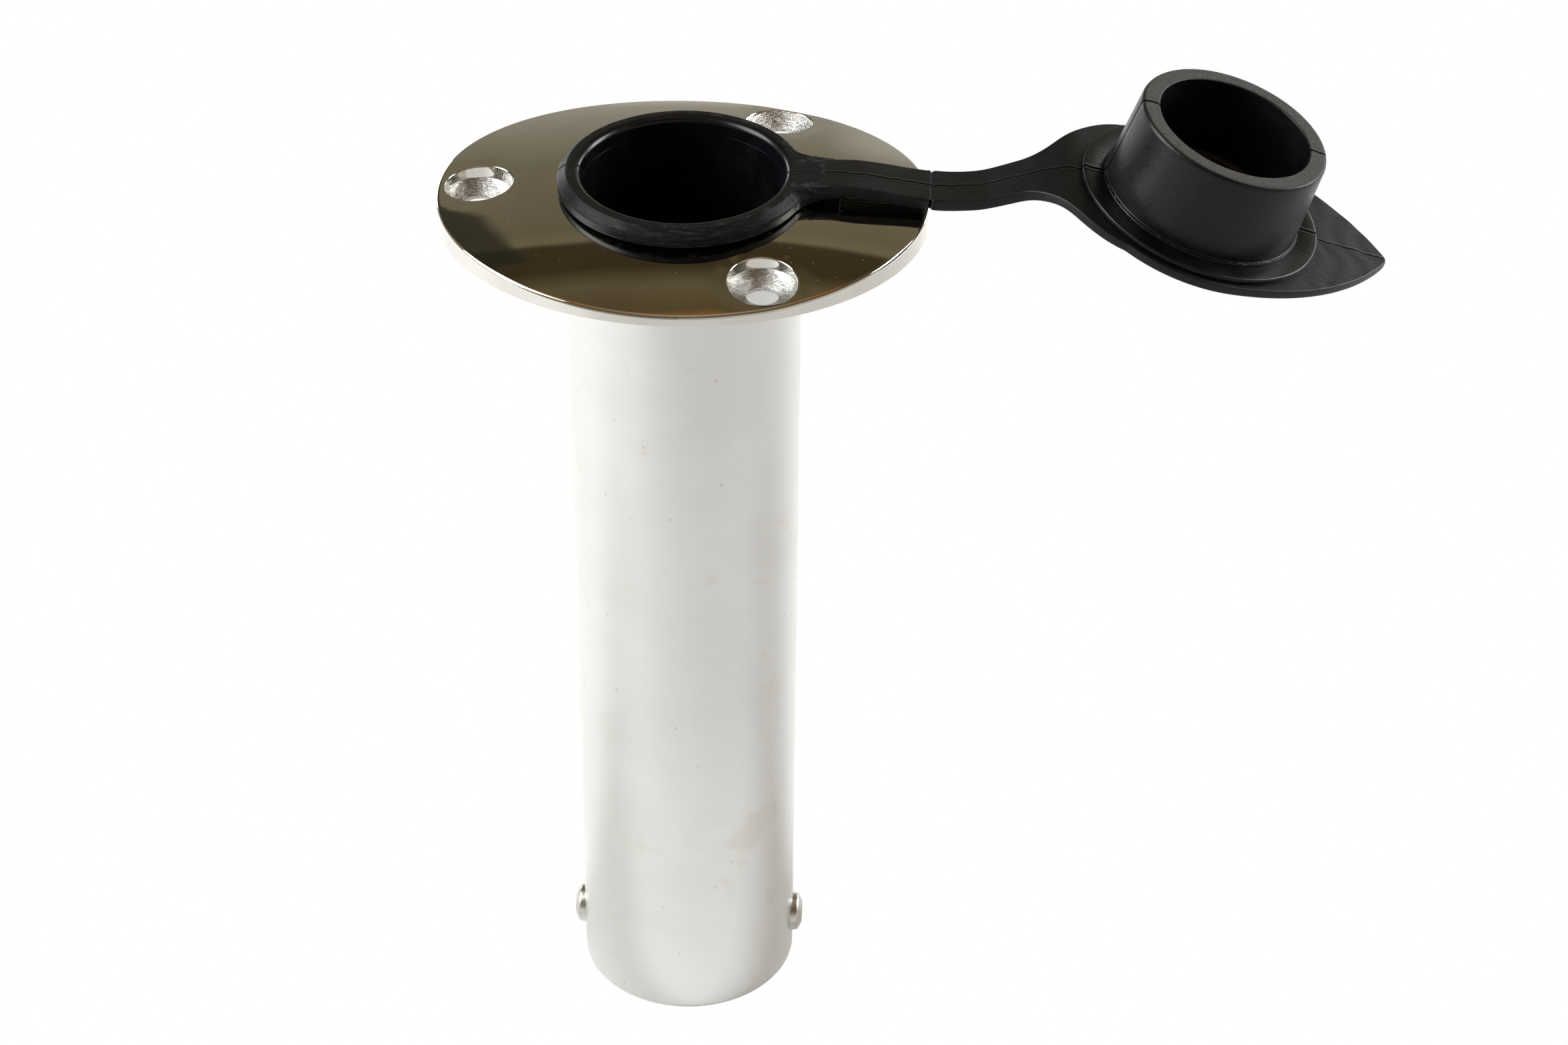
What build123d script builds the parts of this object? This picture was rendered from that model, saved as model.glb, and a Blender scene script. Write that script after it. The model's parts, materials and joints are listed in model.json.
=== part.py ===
"""Flush-mount rod holder: a stainless tube and domed oval flange, with a rubber liner and strap cap.

Millimetres, +Z up. The origin is on the tube's axis at the flange's underside, where the flange
meets the deck. +X runs along the flange's long axis, towards the strap and its cap. The cap is
open here, so its plug faces up and its far end droops.
"""
import os
from math import cos, radians, sin, sqrt

from build123d import *

# Driving dimensions
tube_od = 50.8              # two-inch tube
tube_wall = 1.6
tube_drop = 207.0           # flange underside to the tube's open lower end
tube_socket = 3.0           # how far the tube enters the flange

flange_long = 105.0
flange_short = 90.6
crown_top = 7.9             # height of the crown above the deck face, on the tube's axis
crown_long_r = 498.0        # radius of the crown along the flange
crown_cross_r = 190.0       # radius of the crown across the flange
flange_edge_round = 0.9

screw_r = 3.4
sink_r = 7.2                # mouth of each countersink
sink_angle = 120.0
sink_seat = 3.0             # top of each cone, with a straight wall from there to the crown
end_hole_x = -43.5
side_hole_x = 18.7
side_hole_y = 33.4

weld_leg = 3.0
relief_r = 29.0             # recess round the tube, so the weld stays clear of the seat
relief_depth = 1.2

pin_d = 6.35
pin_rise = 9.8              # pin axis above the tube's lower end
pin_head_d = 9.6
pin_head_h = 2.4
pin_fit = 0.03              # radial gap between the pin and its holes

bore_r = 21.7               # clear bore of the liner
sleeve_depth = 60.0
sleeve_gap = 0.1            # radial gap between the sleeve and the tube
lip_r = 26.7
lip_top = 11.2
lip_seat = 7.36             # the lip's flat underside, which rests on the crown's high line
lip_inner_round = 1.7
lip_outer_round = 2.2

strap_t = 2.6
strap_half_w = 6.5
hinge_gap = 0.35             # half the slot between neighbouring strap pieces
hinge_a_x, hinge_a_z = 48.0, 9.5
hinge_m_x, hinge_m_z = 62.451, 9.2489

cap_droop = 17.2            # degrees that the open cap leans away from the bore
cap_twist = 4.0             # degrees that the open cap is turned about the strap's length
plug_h = 19.3
plug_tip_r = 20.5
plug_root_r = 21.35
plug_bore_r = 16.6
plug_rim_round = 1.1
plug_rim_x, plug_rim_z = 114.98, 25.95
collar_r = 26.3
collar_t = 1.3
plate_r = 27.7
plate_t = 2.0
tab_reach = 42.5            # plug axis to the tip of the pull tab

# Worked-out sizes
screw_holes = [(end_hole_x, 0), (side_hole_x, side_hole_y), (side_hole_x, -side_hole_y)]
tube_r = tube_od / 2
tube_bore_r = tube_r - tube_wall
pin_z = pin_rise - tube_drop


# The cap is drawn on its own plane: origin at the centre of the collar's plug side, Z out of the
# plug's mouth, X towards the pull tab. Finished pieces of the cap are then turned by the twist.
lean = radians(cap_droop)
cap_plane = Plane(
    origin=(plug_rim_x - plug_h * sin(lean), 0, plug_rim_z - plug_h * cos(lean)),
    x_dir=(cos(lean), 0, -sin(lean)),
    z_dir=(sin(lean), 0, cos(lean)),
)


twist_axis = Axis((hinge_m_x, 0, hinge_m_z), (1, 0, 0))


def cap_point(x, z):
    """World X and Z of a point that is given on the cap's own plane."""
    point = cap_plane.from_local_coords(Vector(x, 0, z))
    return point.X, point.Z


os.makedirs("parts", exist_ok=True)
pieces = []


def finish(part, label):
    """Label one finished piece and write its STEP file."""
    part.label = label
    export_step(part, f"parts/{label}.step")
    pieces.append(part)


# Flange: an oval plate, crowned more across than along, with three countersunk holes and a socket
# for the tube. The crown is the outside of a large ring that lies across the flange.
with BuildPart() as flange:
    with BuildSketch(Plane.XY):
        Ellipse(flange_long / 2, flange_short / 2)
    extrude(amount=crown_top + 1)
    with Locations((0, 0, crown_top - crown_long_r)):
        Torus(
            crown_long_r - crown_cross_r,
            crown_cross_r,
            rotation=(90, 0, 0),
            mode=Mode.INTERSECT,
        )
    fillet(flange.faces().sort_by(Axis.Z)[-1].edges(), flange_edge_round)
    with BuildSketch(Plane.XY):
        Circle(tube_bore_r)
    extrude(amount=crown_top + 1, mode=Mode.SUBTRACT)
    with BuildSketch(Plane.XY):
        Circle(tube_r)
    extrude(amount=tube_socket, mode=Mode.SUBTRACT)
    with BuildSketch(Plane.XY):
        Circle(relief_r)
    extrude(amount=relief_depth, mode=Mode.SUBTRACT)
    for hole_x, hole_y in screw_holes:
        with Locations((hole_x, hole_y, sink_seat)):
            CounterSinkHole(screw_r, sink_r, counter_sink_angle=sink_angle, depth=sink_seat + 1)
            Cylinder(
                sink_r,
                crown_top,
                align=(Align.CENTER, Align.CENTER, Align.MIN),
                mode=Mode.SUBTRACT,
            )
finish(flange.part, "flange")

# Tube: open at both ends, drilled across near the bottom for the pin
with BuildPart() as tube:
    with BuildSketch(Plane.XY.offset(-tube_drop)):
        Circle(tube_r)
        Circle(tube_bore_r, mode=Mode.SUBTRACT)
    extrude(amount=tube_drop + tube_socket)
    with BuildSketch(Plane.YZ):
        with Locations((0, pin_z)):
            Circle(pin_d / 2 + pin_fit)
    extrude(amount=tube_r + 1, both=True, mode=Mode.SUBTRACT)
finish(tube.part, "tube")

# Weld: a concave fillet bead round the tube, in the recess under the flange
with BuildPart() as flange_weld:
    with BuildSketch(Plane.XZ):
        with BuildLine():
            corner = (tube_r, relief_depth)
            flange_toe = (tube_r + weld_leg, relief_depth)
            tube_toe = (tube_r, relief_depth - weld_leg)
            bead = 0.42 * weld_leg
            Line(corner, flange_toe)
            ThreePointArc(flange_toe, (tube_r + bead, relief_depth - bead), tube_toe)
            Line(tube_toe, corner)
        make_face()
    revolve(axis=Axis.Z)
finish(flange_weld.part, "flange_weld")

# Cross pin: keeps a rod from turning, and carries its butt
with BuildPart() as cross_pin:
    with BuildSketch(Plane.YZ):
        with Locations((0, pin_z)):
            Circle(pin_d / 2)
    extrude(amount=tube_r, both=True)
    with BuildSketch(Plane.XY.offset(pin_z - pin_d)):
        Circle(tube_r)
    extrude(amount=2 * pin_d, mode=Mode.INTERSECT)
finish(cross_pin.part, "cross_pin")

# Pin heads: low domes formed on both ends of the pin, seated on the tube
head_r = pin_head_d / 2
head_seat = sqrt(tube_r**2 - head_r**2)
head_h = tube_r + pin_head_h - head_seat
head_ball = (head_r**2 + head_h**2) / (2 * head_h)
for side, label in ((-1, "pin_head_left"), (1, "pin_head_right")):
    with BuildPart() as pin_head:
        with Locations((side * (head_seat + head_h - head_ball), 0, pin_z)):
            Sphere(head_ball)
        with BuildSketch(Plane.XY.offset(pin_z - head_r)):
            Circle(tube_r)
        extrude(amount=2 * head_r, mode=Mode.SUBTRACT)
        with BuildSketch(Plane.YZ.offset(side * head_seat)):
            with Locations((0, pin_z)):
                Circle(head_r)
        extrude(amount=side * 2 * head_h, mode=Mode.INTERSECT)
    finish(pin_head.part, label)

# Liner sleeve: the rubber tube inside the flange and the top of the steel tube
with BuildPart() as liner_sleeve:
    with BuildSketch(Plane.XY.offset(-sleeve_depth)):
        Circle(tube_bore_r - sleeve_gap)
        Circle(bore_r, mode=Mode.SUBTRACT)
    extrude(amount=sleeve_depth + lip_seat)
    inner_end = liner_sleeve.edges().filter_by(GeomType.CIRCLE).group_by(Axis.Z)[0]
    chamfer(inner_end.sort_by(SortBy.RADIUS)[0], 0.8)
finish(liner_sleeve.part, "liner_sleeve")

# Liner lip: the rounded ring that rests on the crown
with BuildPart() as liner_lip:
    with BuildSketch(Plane.XZ):
        with BuildLine():
            Polyline(
                (bore_r, lip_seat),
                (bore_r, lip_top),
                (lip_r, lip_top),
                (lip_r, lip_seat),
                close=True,
            )
        make_face()
        rim_points = vertices().group_by(Axis.Z)[-1].sort_by(Axis.X)
        fillet(rim_points[0], lip_inner_round)
        fillet(rim_points[-1], lip_outer_round)
    revolve(axis=Axis.Z)
finish(liner_lip.part, "liner_lip")


# Strap: three bands in a row, split where the rubber folds. Each is drawn from the side, and then
# cut to its outline from above. The fold lines lie in the strap's upper face.
def side_band(top_line):
    """Corners of a strap piece seen from the side: the band below this line, strap_t thick."""
    under_line = [(x, z - strap_t) for x, z in reversed(top_line)]
    return top_line + under_line


with BuildPart() as strap_inner:
    with BuildSketch(Plane.XZ):
        root_line = [
            (bore_r, 11.1),
            (30, 11.3),
            (36, 11.2),
            (43.3, 10.3),
            (hinge_a_x - hinge_gap, hinge_a_z),
        ]
        Polygon(*side_band(root_line), align=None)
    extrude(amount=lip_r, both=True)
    with BuildSketch(Plane.XY):
        with BuildLine():
            Line((hinge_a_x, strap_half_w), (38, strap_half_w))
            ThreePointArc((38, strap_half_w), (30.5, 8.3), (bore_r, 16))
            Line((bore_r, 16), (bore_r, 0))
            Line((bore_r, 0), (hinge_a_x, 0))
            Line((hinge_a_x, 0), (hinge_a_x, strap_half_w))
        make_face()
        mirror(about=Plane.XZ)
    extrude(amount=2 * lip_top, mode=Mode.INTERSECT)
    add(liner_lip.part, mode=Mode.SUBTRACT)
    with BuildSketch(Plane.XY):
        Circle(lip_r - lip_outer_round)
    extrude(amount=2 * lip_top, mode=Mode.SUBTRACT)
finish(strap_inner.part, "strap_inner")

with BuildPart() as strap_link:
    with BuildSketch(Plane.XZ):
        link_line = [
            (hinge_a_x + hinge_gap, hinge_a_z),
            (52.5, 8.9),
            (57, 8.8),
            (hinge_m_x - hinge_gap, hinge_m_z),
        ]
        Polygon(*side_band(link_line), align=None)
    extrude(amount=strap_half_w, both=True)
finish(strap_link.part, "strap_link")

# Cap collar: the low step round the plug's root
with BuildPart() as cap_collar:
    with BuildSketch(cap_plane.offset(-collar_t)):
        Circle(collar_r)
    extrude(amount=collar_t)
    chamfer(cap_collar.edges().group_by(SortBy.LENGTH)[-1].sort_by(Axis.Z)[-1], 0.4)
finish(cap_collar.part.rotate(twist_axis, cap_twist), "cap_collar")

# Cap plug: a hollow cup, a little narrower at its rim
with BuildPart() as cap_plug:
    with BuildSketch(Plane(origin=cap_plane.origin, x_dir=cap_plane.x_dir, z_dir=-cap_plane.y_dir)):
        with BuildLine():
            Polyline(
                (plug_bore_r, 0),
                (plug_root_r, 0),
                (plug_tip_r, plug_h),
                (plug_bore_r, plug_h),
                close=True,
            )
        make_face()
        fillet(vertices().group_by(Axis.Z)[-1].sort_by(Axis.X)[-1], plug_rim_round)
    revolve(axis=Axis(cap_plane.origin, cap_plane.z_dir))
finish(cap_plug.part.rotate(twist_axis, cap_twist), "cap_plug")

# Cap plate: the disc that covers the lip
with BuildPart() as cap_plate:
    with BuildSketch(cap_plane.offset(-collar_t - plate_t)):
        Circle(plate_r)
    extrude(amount=plate_t)
finish(cap_plate.part.rotate(twist_axis, cap_twist), "cap_plate")

# Pull tab: the pointed end of the leaf, outside the disc
with BuildPart() as cap_tab:
    with BuildSketch(cap_plane.offset(-collar_t - plate_t)):
        with BuildLine():
            ThreePointArc((10.5, 25.6), (28.5, 17.6), (tab_reach, 0))
            ThreePointArc((tab_reach, 0), (28.5, -17.6), (10.5, -25.6))
            Line((10.5, -25.6), (10.5, 25.6))
        make_face()
        Circle(plate_r, mode=Mode.SUBTRACT)
    extrude(amount=plate_t)
finish(cap_tab.part.rotate(twist_axis, cap_twist), "cap_tab")

# Outer strap: rises from the second fold and flares into the disc
with BuildPart() as strap_outer:
    with BuildSketch(Plane.XZ):
        rise_line = [
            (hinge_m_x + hinge_gap, hinge_m_z),
            (73.7, 13.0),
            cap_point(-29.5, -collar_t),
            cap_point(-15.0, -collar_t),
        ]
        Polygon(*side_band(rise_line), align=None)
    extrude(amount=plate_r, both=True)
    with BuildSketch(Plane.XY):
        with BuildLine():
            Line((hinge_m_x, strap_half_w), (70, strap_half_w + 0.1))
            ThreePointArc((70, strap_half_w + 0.1), (78.5, 11.2), (84, 18.0))
            Line((84, 18.0), (92.5, 22.9))
            Line((92.5, 22.9), (92.5, 0))
            Line((92.5, 0), (hinge_m_x, 0))
            Line((hinge_m_x, 0), (hinge_m_x, strap_half_w))
        make_face()
        mirror(about=Plane.XZ)
    extrude(amount=2 * plug_h, mode=Mode.INTERSECT)
    with BuildSketch(cap_plane.offset(-plug_h)):
        Circle(plate_r)
    extrude(amount=2 * plug_h, mode=Mode.SUBTRACT)
finish(strap_outer.part.rotate(twist_axis, cap_twist), "strap_outer")

box = Compound(children=pieces).bounding_box()
print("pieces", len(pieces), "size", box.size)
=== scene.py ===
"""Looks of the flush-mount rod holder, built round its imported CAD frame.

Shapes are worked out in millimetres and written in metres. The origin is on the tube's axis at the
flange's underside, +Z is up and +X runs along the flange's long axis towards the cap.
"""

import json
import math

import bmesh
import bpy
import numpy as np
from mathutils import Matrix, Vector
from mathutils.bvhtree import BVHTree
from mathutils.geometry import delaunay_2d_cdt


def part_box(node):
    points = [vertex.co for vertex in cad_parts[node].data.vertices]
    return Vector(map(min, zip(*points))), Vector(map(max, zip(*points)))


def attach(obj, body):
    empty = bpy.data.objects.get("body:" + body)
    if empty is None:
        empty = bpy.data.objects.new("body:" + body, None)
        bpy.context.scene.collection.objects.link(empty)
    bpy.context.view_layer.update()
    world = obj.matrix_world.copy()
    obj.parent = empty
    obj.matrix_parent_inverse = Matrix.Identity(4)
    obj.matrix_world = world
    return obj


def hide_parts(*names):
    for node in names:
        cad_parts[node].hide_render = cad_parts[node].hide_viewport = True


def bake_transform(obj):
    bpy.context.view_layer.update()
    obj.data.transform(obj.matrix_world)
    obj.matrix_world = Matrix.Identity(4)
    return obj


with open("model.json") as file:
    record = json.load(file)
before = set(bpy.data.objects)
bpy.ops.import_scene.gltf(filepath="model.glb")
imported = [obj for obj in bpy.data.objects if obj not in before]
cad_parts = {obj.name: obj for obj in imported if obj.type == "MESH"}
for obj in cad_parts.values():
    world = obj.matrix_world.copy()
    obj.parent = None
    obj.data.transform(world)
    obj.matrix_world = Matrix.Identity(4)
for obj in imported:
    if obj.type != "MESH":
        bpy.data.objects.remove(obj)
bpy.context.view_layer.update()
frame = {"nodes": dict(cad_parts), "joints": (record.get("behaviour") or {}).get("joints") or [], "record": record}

MM = 0.001
skin = 0.02     # how far some faces stay inside their CAD solids, in millimetres

# ---------------------------------------------------------------- sizes, from the CAD frame
mounts = {m["name"]: m for m in frame["record"]["mounts"]}
joints = {j["name"]: j for j in frame["joints"]}


def low(node):
    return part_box(node)[0] / MM


def high(node):
    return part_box(node)[1] / MM


def node_points(node):
    """Every vertex of a CAD node, in millimetres."""
    return np.array([v.co for v in frame["nodes"][node].data.vertices], float) / MM


tube_r = high("tube").x
tube_bottom = low("tube").z
tube_top = high("tube").z
tube_wall = 1.6
half_long = high("flange").x
half_short = high("flange").y
crown_long_r, crown_cross_r = 498.0, 190.0
crown_top = high("flange").z + crown_long_r - math.sqrt(crown_long_r**2 - (tube_r - tube_wall) ** 2)
bore_r = mounts["rod_bore"]["dims"]["r_mm"]
lip_r = -low("liner_lip").x
lip_top = high("liner_lip").z
lip_seat = low("liner_lip").z
sleeve_r = high("liner_sleeve").x
sleeve_bottom = low("liner_sleeve").z
side_holes = mounts["side_screw_holes"]
end_hole = mounts["end_screw_hole"]
half_spacing = side_holes["dims"]["spacing_y_mm"] / 2
screw_r = end_hole["dims"]["r_mm"]
sink_r = 7.2                        # countersink's mouth
sink_seat = 3.0                     # height of the cone's top
sink_lean = math.radians(30)        # the cone's slope
dish_depth, dish_reach = 0.13, 2.0  # polished dip round each screw hole
screw_holes = [
    (end_hole["pos_m"][0] / MM, 0.0),
    (side_holes["pos_m"][0] / MM, half_spacing),
    (side_holes["pos_m"][0] / MM, -half_spacing),
]
fold_a = Vector(joints["strap_fold"]["pos_m"]) / MM
fold_m = Vector(joints["cap_fold"]["pos_m"]) / MM
across = -Vector(joints["strap_fold"]["axis"])      # the rubber moulding's own Y
along = across.cross(Vector((0, 0, 1)))             # the way its strap runs


def crown_z(x, y):
    """Height of the flange's crown, which is dished a little round each screw hole by polishing."""
    bend = crown_long_r - crown_cross_r + math.sqrt(crown_cross_r**2 - y * y)
    z = crown_top - crown_long_r + math.sqrt(bend * bend - x * x)
    for hole_x, hole_y in screw_holes:
        away = math.hypot(x - hole_x, y - hole_y) - sink_r
        z -= dish_depth * math.exp(-((max(0.0, away) / dish_reach) ** 2))
    return z


def crown_normal(x, y):
    tiny = 0.02
    dx = (crown_z(x + tiny, y) - crown_z(x - tiny, y)) / (2 * tiny)
    dy = (crown_z(x, y + tiny) - crown_z(x, y - tiny)) / (2 * tiny)
    return Vector((-dx, -dy, 1)).normalized()


# The cap's own axes: cap_a towards the pull tab, cap_b across, cap_w out of the plug's mouth
disc = node_points("cap_plate")
cap_w = Vector(np.linalg.svd(disc - disc.mean(0))[2][2])
if cap_w.z < 0:
    cap_w.negate()
tab = node_points("cap_tab")
tab_tip = tab[np.argmax(np.linalg.norm(tab - disc.mean(0), axis=1))]
cap_a = Vector(tab_tip - disc.mean(0))
cap_a = (cap_a - cap_w * cap_a.dot(cap_w)).normalized()
cap_b = cap_w.cross(cap_a)
cap_axes = np.array([cap_a, cap_b, cap_w])
disc_span = disc @ cap_axes.T
disc_mid = (disc_span.min(0) + disc_span.max(0)) / 2
plate_r = (disc_span[:, 1].max() - disc_span[:, 1].min()) / 2
plate_t = disc_span[:, 2].max() - disc_span[:, 2].min()
collar_span = node_points("cap_collar") @ cap_axes.T
collar_r = (collar_span[:, 1].max() - collar_span[:, 1].min()) / 2
collar_t = collar_span[:, 2].max() - collar_span[:, 2].min()
plug_span = node_points("cap_plug") @ cap_axes.T
plug_h = plug_span[:, 2].max() - plug_span[:, 2].min()
tab_span = node_points("cap_tab") @ cap_axes.T
tab_reach = tab_span[:, 0].max() - disc_mid[0]
cap_seat = Vector(np.array([disc_mid[0], disc_mid[1], collar_span[:, 2].max()]) @ cap_axes)


def cap_at(a, b, w):
    """A point given on the cap's own axes; w is 0 on the collar's upper face."""
    return cap_seat + cap_a * a + cap_b * b + cap_w * w


# ---------------------------------------------------------------- mesh helpers
def placed(name, data):
    """A new object, put into the scene."""
    obj = bpy.data.objects.new(name, data)
    bpy.context.scene.collection.objects.link(obj)
    return obj


def build(name, points, faces, places=None, normals=None, kinds=None):
    """A smooth mesh from points in millimetres. places go with the points, for the material."""
    mesh = bpy.data.meshes.new(name)
    mesh.from_pydata([tuple(c * MM for c in p) for p in points], [], faces)
    mesh.polygons.foreach_set("use_smooth", [True] * len(mesh.polygons))
    if kinds is not None:
        mesh.polygons.foreach_set("material_index", kinds)
    flow = mesh.attributes.new("place", "FLOAT_VECTOR", "POINT")
    used = points if places is None else places
    flow.data.foreach_set("vector", np.array([tuple(p) for p in used], np.float32).ravel())
    if normals is not None:
        mesh.normals_split_custom_set_from_vertices([tuple(n) for n in normals])
    return placed(name, mesh)


def rounded(corners, steps=7, support=0.25):
    """A profile through corners (x, z, radius), with arcs and a close row beside each arc."""
    line = []
    count = len(corners)
    for i, (x, z, radius) in enumerate(corners):
        here = Vector((x, z))
        if not radius:
            line.append((x, z))
            continue
        to_last = Vector(corners[i - 1][:2]) - here
        to_next = Vector(corners[(i + 1) % count][:2]) - here
        room = 0.48 * min(to_last.length, to_next.length)
        to_last.normalize()
        to_next.normalize()
        half = math.acos(max(-1, min(1, to_last.dot(to_next)))) / 2
        reach = min(radius / math.tan(half), room)
        radius = reach * math.tan(half)
        middle = here + (to_last + to_next).normalized() * radius / math.sin(half)
        first = here + to_last * reach - middle
        turn = (here + to_next * reach - middle).angle_signed(first)
        if reach + support < 2 * room:
            line.append(tuple(here + to_last * (reach + support)))
        for k in range(steps + 1):
            spun = Matrix.Rotation(turn * k / steps, 2) @ first
            line.append(tuple(middle + spun))
        if reach + support < 2 * room:
            line.append(tuple(here + to_next * (reach + support)))
    return line


def grid_faces(rows, columns, first=0, wrap_rows=False, wrap_columns=True):
    """Quads of a grid whose points run row by row."""
    faces = []
    for i in range(rows if wrap_rows else rows - 1):
        for j in range(columns if wrap_columns else columns - 1):
            i2, j2 = (i + 1) % rows, (j + 1) % columns
            faces.append(
                (
                    first + i * columns + j,
                    first + i * columns + j2,
                    first + i2 * columns + j2,
                    first + i2 * columns + j,
                )
            )
    return faces


def lathe(name, profile, place, turns=256, closed=True, shape=None):
    """Turns a profile of (radius, height). shape may change a point, given (turn, radius, height)."""
    points, flows = [], []
    for r, z in profile:
        for k in range(turns):
            t = 2 * math.pi * k / turns
            rr, zz = shape(t, r, z) if shape else (r, z)
            x, y = rr * math.cos(t), rr * math.sin(t)
            points.append(place(x, y, zz))
            flows.append((x, y, zz))
    faces = [f[::-1] for f in grid_faces(len(profile), turns, wrap_rows=closed)]
    return build(name, points, faces, flows)


def inside(points, ring):
    """Which 2-D points lie inside a closed ring."""
    x, y = np.asarray(points, float).reshape(-1, 2).T
    hit = np.zeros(len(x), bool)
    ring = np.asarray(ring, float)
    for (x1, y1), (x2, y2) in zip(ring, np.roll(ring, -1, 0)):
        if y1 == y2:
            continue
        crosses = (y1 > y) != (y2 > y)
        hit ^= crosses & (x < (x2 - x1) * (y - y1) / (y2 - y1) + x1)
    return hit


def fill(outer, holes, spacing):
    """Triangles between an outer ring and holes, with an even spread of points between them."""
    rings = [np.asarray(outer, float)] + [np.asarray(h, float) for h in holes]
    lo, hi = rings[0].min(0), rings[0].max(0)
    row_step = 0.87 * spacing           # rows of even triangles
    clear = 0.62 * spacing              # kept free beside rings
    grid = []
    row = 0
    y = lo[1]
    while y < hi[1]:
        x = lo[0] + (row % 2) * spacing / 2
        while x < hi[0]:
            grid.append((x, y))
            x += spacing
        y += row_step
        row += 1
    grid = np.array(grid)
    keep = inside(grid, rings[0])
    for ring in rings[1:]:
        keep &= ~inside(grid, ring)
    grid = grid[keep]
    for ring in rings:
        gap = np.sqrt(((grid[:, None] - ring[None]) ** 2).sum(2)).min(1)
        grid = grid[gap > clear]
    points = [tuple(p) for ring in rings for p in ring] + [tuple(p) for p in grid]
    edges = []
    first = 0
    for ring in rings:
        edges += [(first + i, first + (i + 1) % len(ring)) for i in range(len(ring))]
        first += len(ring)
    made = delaunay_2d_cdt([Vector(p) for p in points], edges, [], 0, 1e-6)
    verts = np.array([tuple(v) for v in made[0]])
    faces = [tuple(f) for f in made[2]]
    middle = np.array([verts[list(f)].mean(0) for f in faces])
    keep = inside(middle, rings[0])
    for ring in rings[1:]:
        keep &= ~inside(middle, ring)
    up = []
    for f, ok in zip(faces, keep):
        if ok:
            a, b, c = (verts[i] for i in f[:3])
            turned = (b[0] - a[0]) * (c[1] - a[1]) - (b[1] - a[1]) * (c[0] - a[0])
            up.append(f if turned > 0 else f[::-1])
    return verts, up


class Patchwork:
    """Collects patches that each have their own points and exact normals."""

    def __init__(self):
        self.points, self.normals, self.faces, self.kinds = [], [], [], []

    def add(self, points, normals, faces, kind=0):
        first = len(self.points)
        self.points += [tuple(p) for p in points]
        self.normals += [tuple(n) for n in normals]
        self.faces += [tuple(first + i for i in f) for f in faces]
        self.kinds += [kind] * len(faces)


# ---------------------------------------------------------------- flange
top_edge, under_edge = 0.9, 0.3     # radii of the flange's edges
mouth_edge = 0.3                    # radius of a screw hole's edge
recess_r, recess_depth = 29.0, 1.2  # recess round the tube, for the weld
bore_gap = 0.3                      # from the tube's inner face out to the flange's bore
ring_count = 160


def circle(radius, count):
    """Points evenly round a circle at the origin."""
    turns = (2 * math.pi * k / count for k in range(count))
    return [(radius * math.cos(t), radius * math.sin(t)) for t in turns]


def plan(points):
    """The points seen from above."""
    return [p[:2] for p in points]


def flipped(faces):
    """The same faces, turned to look the other way."""
    return [f[::-1] for f in faces]


def rim_patch(work):
    """The flange's rounded rim. Gives its rings on the crown and on the underside."""
    turns, rows = 288, 12
    rim = []
    for k in range(turns):
        t = 2 * math.pi * k / turns
        spot = Vector((half_long * math.cos(t), half_short * math.sin(t)))
        out = Vector((math.cos(t) / half_long, math.sin(t) / half_short)).normalized()
        rim.append((spot, out))
    points, normals = [], []
    for i in range(rows + 1):
        a = math.pi / 2 * (1 - i / rows)
        for spot, out in rim:
            p = spot - out * under_edge * (1 - math.cos(a))
            points.append((p.x, p.y, under_edge * (1 - math.sin(a))))
            normals.append((out.x * math.cos(a), out.y * math.cos(a), -math.sin(a)))
    for i in range(rows + 1):
        for spot, out in rim:
            mid = spot - out * top_edge
            n = crown_normal(mid.x, mid.y)
            slope = math.atan2(n.x * out.x + n.y * out.y, n.z)
            mid_z = crown_z(mid.x, mid.y) - top_edge / math.cos(slope)
            a = (math.pi / 2 - slope) * i / rows
            p = mid + out * top_edge * math.cos(a)
            points.append((p.x, p.y, mid_z + top_edge * math.sin(a)))
            normals.append((out.x * math.cos(a), out.y * math.cos(a), math.sin(a)))
    work.add(points, normals, grid_faces(2 * rows + 2, turns))
    return plan(points[-turns:]), plan(points[:turns])


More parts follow.
